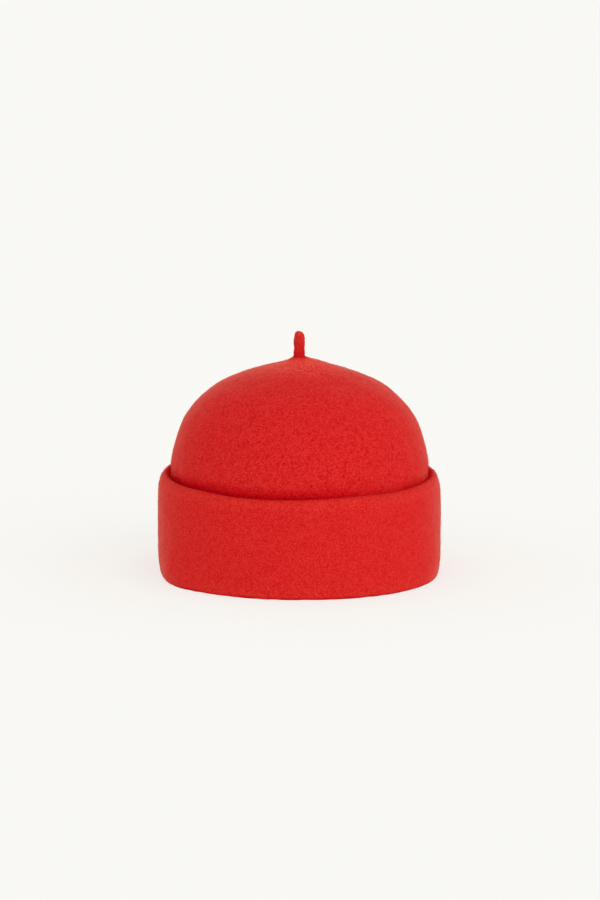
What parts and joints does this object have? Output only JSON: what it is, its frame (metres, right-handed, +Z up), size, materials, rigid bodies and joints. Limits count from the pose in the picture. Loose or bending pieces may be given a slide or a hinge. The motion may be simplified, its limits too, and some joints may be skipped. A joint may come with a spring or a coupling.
{
  "type": "wool hat",
  "caption": "Brimless wool felt hat: a domed crown with a deep turned-up cuff round the bottom and a short felt stem on top, hollow and open below for the head.",
  "frame": {"origin": "the middle of the bottom, on the surface that the fold rests on, under the stem", "axes": "+Z up through the stem, -Y towards the front of the wearer's head, +X to the wearer's left"},
  "size_m": [0.186, 0.208, 0.1584],
  "materials": {
    "red_felt": "thick milled wool felt, matt, with a short soft nap",
    "stem_felt": "the same felt rolled tight, a little deeper in colour"
  },
  "bodies": {
    "root": {"crown_and_cuff": "red_felt", "stem": "stem_felt"}
  },
  "joints": []
}
